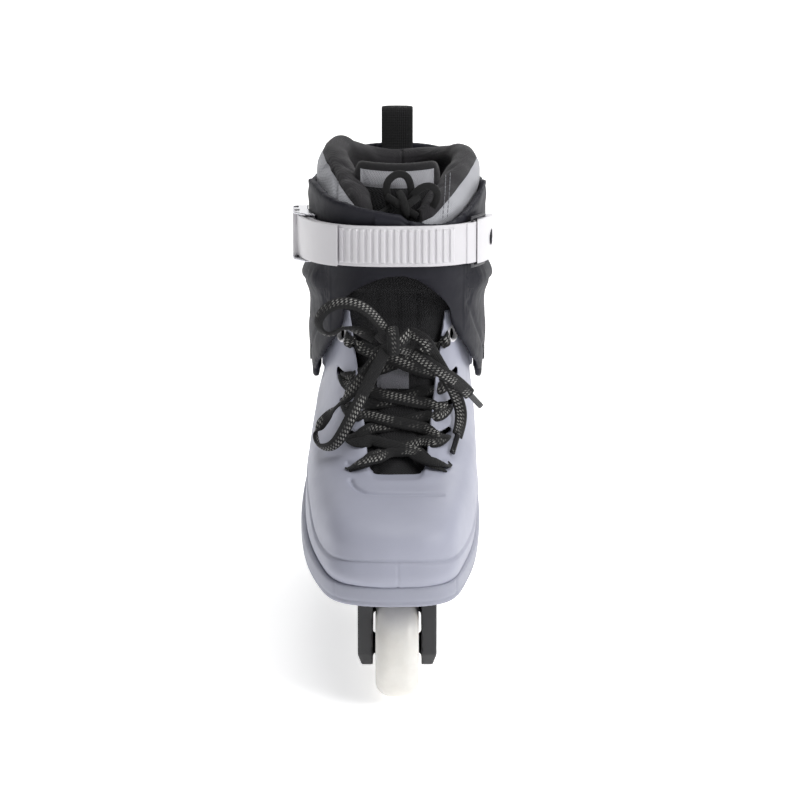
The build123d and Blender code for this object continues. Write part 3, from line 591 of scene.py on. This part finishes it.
def make_cuff():
    cuff = remesh(cad_copy("ankle_cuff", "cuff"), 0.9, 3)
    at = coordinates(cuff.data)
    x, y, z = at.T
    arch = np.interp(x, *zip(*CUFF_ARCH))
    at[:, 2] = np.where((np.abs(x) < 30) & (y < -20) & (z < arch) & (z > 185), arch, z)
    set_coordinates(cuff.data, at)
    smooth_ledges(cuff)
    soft = cuff.modifiers.new("soft", "SMOOTH")
    soft.factor, soft.iterations = 0.5, 6
    applied(cuff)

    def relief(x, y, z, n):
        out = fade(n[:, 0] * np.sign(x), 0.1, 0.5)
        front = fade(-n[:, 1], 0.2, 0.6)
        # a rolled rim along the top
        move = 0.8 * np.exp(-((z - 256) / 4.0) ** 2) * fade(-n[:, 1] + np.abs(n[:, 0]), 0.3, 0.8)
        # a pressed panel on each side, over the hinge
        panel = curve_through([(-12, 196), (4, 176), (24, 158), (38, 152)])
        move -= 0.9 * np.exp(-(away(y, z, panel) / 2.0) ** 2) * out
        crease = curve_through([(10, 205), (40, 192), (80, 186), (112, 190)])
        move -= 0.8 * np.exp(-(away(y, z, crease) / 1.8) ** 2) * out
        rib = curve_through([(52, 240), (70, 222), (100, 205)])
        move += 0.9 * np.exp(-(away(y, z, rib) / 4.5) ** 2) * out
        ring = np.abs(np.hypot(y - 62, z - 145) - 16.5)
        move += 0.6 * np.exp(-(ring / 1.6) ** 2) * out
        # the outer flap laps over the inner one above the strap, and its edge runs down below it
        lap = fade(x, -13.0, -12.0) * fade(z, 229, 232) * front
        lap *= np.where(x < 7, 1 - fade(z, 251.5, 253.0), 1.0)
        move += 1.5 * lap * (1 - fade(x, 30, 44))
        below = curve_through([(1.5, 214), (7, 207), (16, 199), (23, 190)])
        move -= 0.8 * np.exp(-(away(x, z, below) / 1.3) ** 2) * front
        return move

    push(cuff, relief)
    at = coordinates(cuff.data)
    x, y, z = at.T
    rim = fade(z, 232, 257) * (1 - fade(y, 24, 44))
    at[:, 2] += np.interp(x, *zip(*CUFF_RIM)) * rim
    set_coordinates(cuff.data, at)
    return dress(cuff, CUFF_PLASTIC, "cuff", "cuff_black", "cuff")


def make_frame_part():
    thing = remesh(cad_copy("wheel_frame", "frame"), 0.8, 3)
    dress(thing, FRAME_PLASTIC, "boot", "frame_nylon", "frame")


def make_strap():
    strap = remesh(cad_copy("strap_ladder", "ladder_strap"), 0.38, 3)
    dress(strap, STRAP_PLASTIC, "cuff", "strap_white", "ladder_strap")
    for name, node, body, slot, material in (
            ("buckle_frame", "buckle_base", "cuff", "buckle_metal", CHROME),
            ("lever", "buckle_lever", "lever", "strap_white", STRAP_PLASTIC),
            ("pawl", "release_pawl", "pawl", "buckle_metal", CHROME),
            ("anchor_block", "strap_anchor", "cuff", "strap_white", STRAP_PLASTIC)):
        piece = remesh(cad_copy(name, node), 0.32, 3)
        dress(piece, material, body, slot, node)
    wire = remesh(cad_copy("anchor_wire", "strap_wire"), 0.35, 4)
    dress(wire, DARK_STEEL, "cuff", "wire_black", "strap_wire")


def plain_nodes():
    """CAD pieces whose shape is right, and only need their material."""
    for number in range(1, 5):
        for node, material in (("tyre", URETHANE), ("core", HUB), ("outer_races", STEEL), ("balls", STEEL)):
            give(f"wheel_{number}_{node}", material)
    for node, material in (("inner_races", STEEL), ("bearing_spacers", STEEL), ("axle_bolts", DARK_STEEL),
                           ("axle_screws", DARK_STEEL), ("frame_bolts", STEEL), ("frame_nuts", STEEL),
                           ("slide_screws", STEEL), ("cuff_bolts", DARK_STEEL), ("cuff_nuts", STEEL),
                           ("buckle_rivets", STEEL), ("buckle_pins", STEEL), ("anchor_screw", DARK_STEEL),
                           ("shock_board", FOAM_BOARD), ("footbed", FOAM_BOARD)):
        give(node, material)


def give(node, material):
    mesh = NODES[node].data
    mesh.materials.clear()
    mesh.materials.append(material)


def eyelet(at, out, radius, hole):
    """A pressed ring that lines a lace hole."""
    bm = bmesh.new()
    out = Vector(out).normalized()
    one = out.orthogonal().normalized()
    two = out.cross(one)
    rings = []
    sides = 28
    for r, h in ((hole, -1.5), (hole, 0.4), (hole + 0.5, 0.9), ((hole + radius) / 2, 1.05),
                 (radius - 0.4, 0.8), (radius, 0.2), (radius, -0.6)):
        centre = (Vector(at) + out * h) * MM
        rings.append([bm.verts.new(centre + (one * math.cos(t) + two * math.sin(t)) * r * MM)
                      for t in (2 * math.pi * k / sides for k in range(sides))])
    for a, b in zip(rings, rings[1:]):
        for k in range(sides):
            bm.faces.new((a[k], a[(k + 1) % sides], b[(k + 1) % sides], b[k]))
    mesh = bpy.data.meshes.new("eyelet")
    bmesh.ops.recalc_face_normals(bm, faces=bm.faces)
    bm.to_mesh(mesh)
    bm.free()
    return put("eyelet", mesh)


# ---- soft parts ----------------------------------------------------------------------
WALL_HALF, WALL_FRONT, WALL_LENGTH = 45.6, -30.0, 147.0
# the crest of the padded rim on each side of the leg, from the front edge to the back
RIDGE_OUTER = [(-17, -27, 257), (-20, -16, 263), (-26, 2, 267.5), (-32, 22, 271), (-35, 42, 273.5),
               (-32, 58, 272), (-25, 72, 265), (-14, 84, 257), (0, 89, 254)]
RIDGE_INNER = [(13, -28, 254), (20, -14, 260), (28, 4, 265), (35, 24, 268.5), (38, 44, 269),
               (35, 60, 267), (27, 74, 261), (14, 85, 256), (0, 89, 254)]
ROLL = 7.2   # the radius of the padded rim


def spread(points, count):
    """Evenly spaced points along a line."""
    points = np.array(points, dtype=float)
    run = np.concatenate([[0], np.cumsum(np.linalg.norm(np.diff(points, axis=0), axis=1))])
    at = np.linspace(0, run[-1], count)
    return np.column_stack([np.interp(at, run, points[:, k]) for k in range(points.shape[1])])


def collar_lines(count=76):
    """Round the leg from one front edge to the other: the wall line, the ridge line, and the way in."""
    walls, ridges = [], []
    for side, ridge in ((-1, RIDGE_OUTER), (1, RIDGE_INNER)):
        wall = []
        for u in np.linspace(0.052, 1.0, 240):
            wide = max(0.0, math.sin(math.pi * u)) ** (0.62 if u < 0.5 else 0.8)
            wall.append((side * WALL_HALF * wide, WALL_FRONT + WALL_LENGTH * (1 - math.cos(math.pi * u)) / 2))
        wall, line = spread(wall, count), spread(curve_through(ridge), count)
        walls.append(wall if side < 0 else wall[::-1][1:])
        ridges.append(line if side < 0 else line[::-1][1:])
    wall, ridge = np.vstack(walls), np.vstack(ridges)
    ahead = np.gradient(wall, axis=0)
    ahead /= np.hypot(*ahead.T)[:, None]
    inward = np.column_stack([-ahead[:, 1], ahead[:, 0]])
    if inward[count // 2] @ (np.array([0, 45]) - wall[count // 2]) < 0:
        inward = -inward
    return wall, ridge, inward, ahead


def collar_section(a, top, low):
    """The collar cut across, as (distance in from the wall, height): panel, seam, roll, lining."""
    foot = min(top - 15.0, 246.0)
    seam = (a - ROLL * 0.93, top - ROLL * 0.70)
    panel = []
    for share in (0.3, 0.6, 0.88):
        bulge = 3.0 * math.sin(math.pi * share)
        panel.append((0.9 + (seam[0] - 0.9) * share - bulge, foot + (seam[1] - foot) * share + bulge * 0.5))
    section = [(7.0, low), (1.6, low + 1), (0.9, low + 8), (0.7, foot - 12), (0.9, foot)] + panel + [seam]
    for k in range(12):
        angle = math.radians(158 - k * 183 / 11)
        section.append((a + math.cos(angle) * ROLL, top - ROLL + math.sin(angle) * ROLL))
    inner = a + ROLL * 0.8
    section += [(inner, top - 14.0), (inner * 0.9 + 1.2, top - 22.0), (max(10.0, inner * 0.7), low + 10),
                (max(9.0, inner * 0.55), low + 1)]
    return section, 5 + len(panel)


def make_collar():
    """The padded top of the liner: pale side panels, and a dark lining that rolls over the rim."""
    wall, ridge, inward, ahead = collar_lines()
    count = len(wall)
    bm = bmesh.new()
    rings, seam = [], 0
    for i in range(count):
        gap = ridge[i, :2] - wall[i]
        a, slide, top = gap @ inward[i], gap @ ahead[i], ridge[i, 2]
        low = 200.0 + 17.0 * (1 - float(fade(min(i, count - 1 - i), 8, 20)))
        section, seam = collar_section(max(a, ROLL), top, low)
        ring = []
        for d, z in section:
            x, y = wall[i] + inward[i] * d + ahead[i] * slide * float(fade(z, 225.0, top - ROLL))
            ring.append(bm.verts.new(Vector((x, y, z)) * MM))
        rings.append(ring)
    size = len(rings[0])
    for one, two in zip(rings, rings[1:]):
        for k in range(size):
            far = (k + 1) % size
            face = bm.faces.new((one[k], two[k], two[far], one[far]))
            face.material_index = 1 if 1 < k < seam else 0
    bm.faces.new(rings[0])
    bm.faces.new(rings[-1][::-1])
    bmesh.ops.recalc_face_normals(bm, faces=bm.faces)
    mesh = bpy.data.meshes.new("padded_collar")
    bm.to_mesh(mesh)
    bm.free()
    collar = put("padded_collar", mesh)
    smooth = collar.modifiers.new("smooth", "SUBSURF")
    smooth.levels = smooth.render_levels = 2
    applied(collar)
    ridge_line = [tuple(p) for p in ridge[:, :2]]

    def folds(x, y, z, n):
        level = np.interp(y, ridge[:count // 2 + 1, 1], ridge[:count // 2 + 1, 2])
        rim = fade(z, level - 16, level - 8)
        near = away(x, y, ridge_line)
        move = 0.35 * np.sin(x * 0.13 + y * 0.19 + 0.7) * rim
        move += 0.18 * np.sin(y * 0.47 + z * 0.3) * np.sin(x * 0.21 + 1.3) * rim
        # slack creases where the lining bends round to the front, and the seams inside the back
        for cx, cy, turn in ((-23, -6, 0.9), (-29, 12, 0.7), (24, -6, -0.9), (32, 16, -0.7)):
            along = (x - cx) * math.cos(turn) + (y - cy) * math.sin(turn)
            move -= 0.7 * np.exp(-(along / 1.6) ** 2) * np.exp(-(np.hypot(x - cx, y - cy) / 9.0) ** 2) * rim
        inside = (y > 50) & (n[:, 1] < 0.1)
        move -= 1.0 * np.exp(-((x - 2.5) / 0.9) ** 2) * inside
        move -= 0.8 * np.exp(-((z - 240) / 1.4) ** 2) * inside * (near > 4)
        # soft dents in the pale panels, and the pinch along their seam
        panel = (near > 6) & (z > 246)
        move += 0.45 * np.sin(y * 0.16 + 0.6) * np.sin(z * 0.19) * panel
        pinch = away(x, z, [(-42, 264), (-37, 267), (-34.5, 262), (-34, 250)])
        move -= 0.9 * np.exp(-(pinch / 0.9) ** 2) * (y < 25) * panel
        return move

    push(collar, folds)
    collar.data.materials.append(LINER_BLACK)
    collar.data.materials.append(LINER_SILVER)
    dress(collar, None, "cuff", "liner_black", "liner_collar")
    tree = surface_of(collar)
    threads = []
    for start, end in (((25.5, 250), (27.5, 266)), ((28.0, 250), (30.0, 266)), ((-33.5, 250), (-33.0, 264))):
        seam_line, outward = [], []
        for share in np.linspace(0, 1, 40):
            x, z = (start[k] + (end[k] - start[k]) * share for k in (0, 1))
            hit, normal, _, _ = tree.ray_cast(Vector((x, -60, z)) * MM, Vector((0, 1, 0)))
            if hit is None or hit.y > 40 * MM:
                continue
            if not seam_line or (hit - seam_line[-1]).length < 3 * MM:
                seam_line.append(hit)
                outward.append(normal)
        if len(seam_line) > 4:
            threads.append(stitches("seam", seam_line, outward, 1.8, 0.9, 0.26))
    dress(joined("collar_stitching", *threads), STITCH, "cuff", "liner_black")
    liner = remesh(cad_copy("liner_foot", "liner_boot"), 1.8, 8, 0.5)
    dress(liner, LINER_BLACK, "boot", "liner_black", "liner_boot")


def hull(name, points):
    bm = bmesh.new()
    for p in points:
        bm.verts.new(Vector(p) * MM)
    bmesh.ops.convex_hull(bm, input=bm.verts)
    mesh = bpy.data.meshes.new(name)
    bm.to_mesh(mesh)
    bm.free()
    return put(name, mesh)


def make_tongue(cuff):
    """One padded tongue from the toe to the top edge, kept behind the cuff's front wall."""
    neck = [(side * x, y, z) for side in (-1, 1) for x, y, z in
            ((30, -19, 176), (30, -12, 176), (12, -25, 178), (12, -19, 178), (29, -19, 220),
             (29, -13, 220), (12, -21, 220))]
    tongue = joined("boot_tongue", cad_copy("lower", "tongue"), cad_copy("upper", "tongue_top"),
                    hull("neck", neck))
    remesh(tongue, 1.2, 10, 0.5)

    def quilt(x, y, z, n):
        front = fade(n[:, 2] * 0.4 - n[:, 1], 0.3, 0.8)
        high = fade(z, 200, 225)
        channel = np.exp(-((np.abs(x) - 11.0) / 1.2) ** 2)
        channel += 0.8 * np.exp(-((np.abs(x) - 1.0) / 0.9) ** 2) * (z > 168)
        move = -0.9 * channel * front * (1 - high)
        move += 0.5 * front * (1 - (x / 26) ** 2) * (1 - high)
        edge = np.minimum(29 - np.abs(x), 277 - z)
        move += high * (1.1 * fade(edge, 4.0, 10.0) + 1.0 * np.exp(-((edge - 1.8) / 2.4) ** 2))
        move -= 0.8 * np.exp(-((z - 262.5) / 0.9) ** 2) * high
        return move

    push(tongue, quilt)
    at = coordinates(tongue.data)
    high = fade(at[:, 2], 222, 252)
    at[:, 0] *= 1 - 0.20 * high
    at[:, 1] += 0.013 * at[:, 0] ** 2 * high
    at[:, 2] = np.minimum(at[:, 2], 279.0)
    tree = surface_of(cuff)
    for i in np.nonzero((at[:, 2] > 176) & (at[:, 2] < 256))[0]:
        inner = inside_of(tree, at[i])
        if inner is not None and at[i, 1] < inner + 0.7:
            at[i, 1] = inner + 0.7
    set_coordinates(tongue.data, at)
    paint(tongue, (TONGUE_DARK, None),
          (TONGUE_GREY, lambda x, y, z: (x > -20.5) & (x < 20.5) & (z < 271.5) & (z > 262.8)),
          (BINDING, lambda x, y, z: (z > 225) & ((np.abs(x) > 20.5) | (z >= 271.5))),
          (TONGUE_PATCH, lambda x, y, z: (np.abs(x + 2) < 9.0) & (z > 155) & (z < 168)))
    tongue.data.shade_smooth()
    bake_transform(tongue)
    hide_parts("tongue", "tongue_top")
    return tongue


def inside_of(tree, at):
    """How far back the front wall's inner face is at a point's width and height."""
    start = Vector((at[0], -200, at[2])) * MM
    first, _, _, _ = tree.ray_cast(start, Vector((0, 1, 0)))
    if first is None or first.y > 0.02:
        return None
    second, _, _, _ = tree.ray_cast(first + Vector((0, 0.3 * MM, 0)), Vector((0, 1, 0)))
    return second.y / MM if second is not None and second.y < 0.02 else None


def make_tab():
    route = [(0, 98.6, 244), (0, 99.5, 256), (0, 100.5, 268), (0, 102.0, 273.5), (0, 105.5, 274.5),
             (0, 108.6, 273), (0, 109.2, 267), (0, 110.0, 256), (0, 110.6, 244)]
    line = spline_points(route)
    centre = Vector((0, 105.2, 258)) * MM
    outward = [p - centre for p in line]
    tab = ribbon("pull_loop", line, outward, 18.0, 1.5, cup=0.0)
    dress(tab, WEBBING, "cuff", "webbing", "pull_tab")


# ---- laces ---------------------------------------------------------------------------
LACE_W, LACE_T = 7.2, 1.8
LINER_LACE_W = 4.2
LACE_ROWS = [123.8, 133.5, 144.0, 156.0]
LACE_TOP = 179.0
LOOP_HIGH = [(-7, -46, 191.5), (-14, -51, 204), (-27, -53, 211), (-40, -51, 207), (-46, -49, 195),
             (-38, -47, 187), (-28, -46, 195), (-12.5, -44, 185.5)]
LOOP_LOW = [(-7, -50, 182), (-20, -58, 166), (-30, -56, 153), (-40, -50, 141), (-47, -50, 131),
            (-44, -61, 126), (-35, -72, 131), (-28, -73, 144), (-20, -68, 159), (-6, -51, 182)]
TAIL_LONG = [(7, -48, 190), (15, -54, 190), (21, -53, 178), (28, -49, 164), (34, -43, 150), (37, -45, 138),
             (34, -58, 133)]
TAIL_SHORT = [(9, -50, 179), (17, -58.5, 176), (26, -58.5, 170), (35, -50, 161), (41, -41, 151)]
LINER_LOOPS = [
    [(-4, -20, 257), (-8, -19, 267), (0, -17, 275), (8, -17, 271), (8, -19, 261)],
    [(6, -21, 257), (10, -23, 266), (19, -24, 270), (24, -23.5, 263), (20, -22, 256)],
]


def skin(tree, x, z):
    """The boot's front at (x, z), looking past the lace slots."""
    found = {}
    for dz in (-4.5, 0.0, 4.5):
        hit, normal, _, _ = tree.ray_cast(Vector((x, -200, z + dz)) * MM, Vector((0, 1, 0)))
        if hit is not None:
            found[dz] = hit, normal
    if -4.5 in found and 4.5 in found:
        even = (found[-4.5][0] + found[4.5][0]) / 2
        if 0.0 not in found or found[0.0][0].y > even.y + 1.2 * MM:
            return even, (found[-4.5][1] + found[4.5][1]).normalized()
    return found.get(0.0) or found.get(4.5) or found[-4.5]


def eased(line, rounds=8):
    """The line with its corners worn off and its two ends kept."""
    for _ in range(rounds):
        middle = [(a + b * 2 + c) / 4 for a, b, c in zip(line, line[1:], line[2:])]
        line = [line[0], *middle, line[-1]]
    return line


def slot_x(z):
    """How far from the middle the lace slots are at a height."""
    return 15.5 + 0.155 * (z - 121) + 11.5


def lay_row(tree, line):
    line = eased(line)
    return ribbon("row", line, facing(line, tree), LACE_W, LACE_T)


def make_rows(tree):
    """The laced rows over the tongue: four crossings, a bar at the bottom, two strands to the eyelets."""
    levels = LACE_ROWS + [LACE_TOP]
    pieces = []
    for low, high in zip(levels, levels[1:]):
        for side in (-1, 1):
            over = 1.9 if side > 0 else 0.0
            start = side * slot_x(low), low
            end = -side * (31.0 if high == LACE_TOP else slot_x(high)), high
            line = []
            for i in range(49):
                share = i / 48
                x, z = (start[j] + (end[j] - start[j]) * share for j in (0, 1))
                hit, normal = skin(tree, x, z)
                near_end = min(share, 1 - share) * math.hypot(start[0] - end[0], start[1] - end[1])
                lift = 1.5 + over * math.sin(math.pi * share) ** 2 - 4.0 * (1 - fade(near_end, 0.0, 5.0))
                line.append(hit + normal * lift * MM)
            pieces.append(lay_row(tree, line))
    bar = [(-28.0 + 58.0 * k / 48, 124.0 + 2.4 * math.sin(math.pi * k / 48)) for k in range(49)]
    strands = [[(side * (31.0 - 19.0 * k / 24), LACE_TOP - 7.5 * (k / 24) ** 1.2) for k in range(25)]
               for side in (-1, 1)]
    for route in (bar, *strands):
        line = []
        for k, (x, z) in enumerate(route):
            hit, normal = skin(tree, x, z)
            # the bar dives into a slot at both ends, and a strand at its first
            near_end = 1.2 * (min(k, 48 - k) if route is bar else k)
            line.append(hit + normal * (3.4 - 7.0 * (1 - float(fade(near_end, 0.0, 6.0)))) * MM)
        pieces.append(lay_row(tree, line))
    dress(joined("lace_crossings", *pieces), LACE, "boot", "lace_black", "lace_rows")


def make_bow():
    """The knot, its two loops and its two tails with their tips."""
    wraps = [
        [(-11, -47, 190), (-7, -51, 187), (-2, -52.5, 184), (4, -51, 181), (8, -47, 179)],
        [(8, -47, 191), (5, -51.5, 188), (-1, -54, 185), (-7, -52, 181), (-11, -47, 178)],
        [(-3, -44, 192), (-2.5, -52, 192.5), (-2, -56, 185), (-2.5, -52, 177.5), (-3, -44, 178)],
    ]
    dress(wound("lace_bow_knot", wraps, (-2, -38, 184.5), LACE_W, 2.2, 0.2), LACE, "boot", "lace_black",
          "lace_knot")

    for name, route, node in (("bow_loop_high", LOOP_HIGH, "lace_loop_high"),
                              ("bow_loop_low", LOOP_LOW, "lace_loop_low")):
        line = spline_points(route)
        middle = sum(line, Vector()) / len(line)
        outward = [(p - middle).normalized() * 0.8 + Vector((0, -0.6, 0)) for p in line]
        loop = ribbon(name, line, outward, LACE_W, LACE_T)
        dress(loop, LACE, "boot", "lace_black", node)
    # both tips stand for one CAD node, which the first of them replaces
    for name, route, node, tip_node in (("tail_long", TAIL_LONG, "lace_tail_long", ["lace_tips"]),
                                        ("tail_short", TAIL_SHORT, "lace_tail_short", [])):
        line = spline_points(route)
        outward = [Vector((0.25, -1, 0.15))] * len(line)
        tail = ribbon(name, line, outward, LACE_W, LACE_T)
        dress(tail, LACE, "boot", "lace_black", node)
        along = (line[-1] - line[-2]).normalized()
        tip_line = [line[-1] + along * (k * 1.6 - 1.0) * MM for k in range(11)]
        tip = ribbon(name + "_tip", tip_line, outward[:len(tip_line)], 3.4, 2.2, cup=0.0)
        dress(tip, LACE_TIP, "boot", "lace_tip", *tip_node)


def wound(name, routes, centre, width, thick, cup):
    """A knot, as short lengths of braid that turn about its centre."""
    centre = Vector(centre) * MM
    turns = []
    for route in routes:
        line = spline_points(route)
        turns.append(ribbon("turn", line, [p - centre for p in line], width, thick, cup=cup))
    return joined(name, *turns)


def make_liner_laces():
    """The liner's own thin laces: two loops and a knot."""
    for number, (route, node) in enumerate(zip(LINER_LOOPS, (["liner_laces"], [])), 1):
        line = spline_points(route)
        loop = ribbon(f"liner_lace_{number}", line, [Vector((0, -1, 0.3))] * len(line), LINER_LACE_W, 2.2,
                      cup=0.0)
        dress(loop, LINER_LACE, "cuff", "lace_black", *node)
    turns = [[(-6, -22, 262), (-1, -26, 260), (5, -27, 256), (11, -24, 251)],
             [(12, -22, 262), (8, -26.5, 260), (2, -27, 255), (-3, -24, 250)],
             [(1, -20, 264), (3.5, -27, 262), (4.5, -28.5, 257), (5, -26, 252), (6, -21, 249)],
             [(-4, -21, 256), (-10, -24, 252), (-16, -25, 250), (-21, -24, 249)]]
    dress(wound("liner_lace_knot", turns, (4, -18, 257), 4.4, 2.4, 0.1), LINER_LACE, "cuff", "lace_black")


def make_eyelets(shell):
    """Two raised rings that line the top lace holes, near-white as a painted highlight on the holes' rims."""
    outside = surface_of(shell)
    rings = []
    for x in (-31.0, 31.0):
        hit, normal = skin(outside, x, LACE_TOP)
        rings.append(eyelet(hit / MM, normal, radius=5.2, hole=3.4))
    # the rings take the near-white painted highlight colour
    dress(joined("eyelet_rings", *rings), EYELET_HIGHLIGHT, "boot", "strap_white")


# ---- studio --------------------------------------------------------------------------
def make_studio():
    bm = bmesh.new()
    half, back = 6.0, 5.0
    profile = [(-half, 0.0)] + [(back - 1.5 + 1.5 * math.sin(a), 1.5 - 1.5 * math.cos(a))
                                for a in (k * math.pi / 32 for k in range(17))] + [(back, 7.0)]
    rows = [[bm.verts.new((x, y, z)) for x in (-half, half)] for y, z in profile]
    for a, b in zip(rows, rows[1:]):
        bm.faces.new((a[0], a[1], b[1], b[0]))
    mesh = bpy.data.meshes.new("studio_floor")
    bm.to_mesh(mesh)
    bm.free()
    floor = put("studio_floor", mesh)
    g = Graph("studio_paper")
    paper = g.mix(g.noise(g.place(), 3.0), (0.93, 0.93, 0.93, 1), (0.95, 0.95, 0.95, 1))
    g.feed(g.shader.inputs["Base Color"], paper)
    g.shader.inputs["Roughness"].default_value = 0.9
    g.shader.inputs["Emission Color"].default_value = (1, 1, 1, 1)
    g.shader.inputs["Emission Strength"].default_value = 0.54
    mesh.materials.append(g.material)
    mesh.shade_smooth()
    world = bpy.data.worlds.new("studio")
    world.use_nodes = True
    world.node_tree.nodes["Background"].inputs[0].default_value = (1.0, 1.0, 1.0, 1)
    world.node_tree.nodes["Background"].inputs[1].default_value = 0.15
    SCENE.world = world
    for name, at, size, power in (("key", (1.7, -1.1, 1.6), 1.1, 33),
                                  ("fill", (-1.2, -2.2, 1.0), 1.4, 0.6),
                                  ("top", (0.1, -0.2, 2.4), 1.4, 20),
                                  ("rim", (0.6, 1.8, 1.4), 1.2, 12)):
        lamp = bpy.data.lights.new(name, "AREA")
        lamp.shape, lamp.size, lamp.energy = "SQUARE", size, power
        thing = bpy.data.objects.new(name, lamp)
        thing.location = at
        thing.rotation_euler = (Vector((0, 0, 0.13)) - Vector(at)).to_track_quat("-Z", "Y").to_euler()
        SCENE.collection.objects.link(thing)
    camera = bpy.data.cameras.new("camera")
    camera.sensor_width = 36.0
    camera.lens = 316.4
    thing = bpy.data.objects.new("camera", camera)
    rise = math.radians(20.0)
    target = Vector((0.0016, 0, 0.1328))
    thing.location = target + Vector((0, -math.cos(rise), math.sin(rise))) * 4.0
    thing.rotation_euler = (target - thing.location).to_track_quat("-Z", "Y").to_euler()
    SCENE.collection.objects.link(thing)
    SCENE.camera = thing
    SCENE.view_settings.view_transform = "Standard"


make_studio()
plain_nodes()
shell_piece = make_shell()
make_sole()
cuff_piece = make_cuff()
make_frame_part()
make_strap()
make_collar()
tongue_piece = make_tongue(cuff_piece)
make_tab()
make_rows(surface_of(shell_piece, tongue_piece))
make_bow()
make_liner_laces()
make_eyelets(shell_piece)
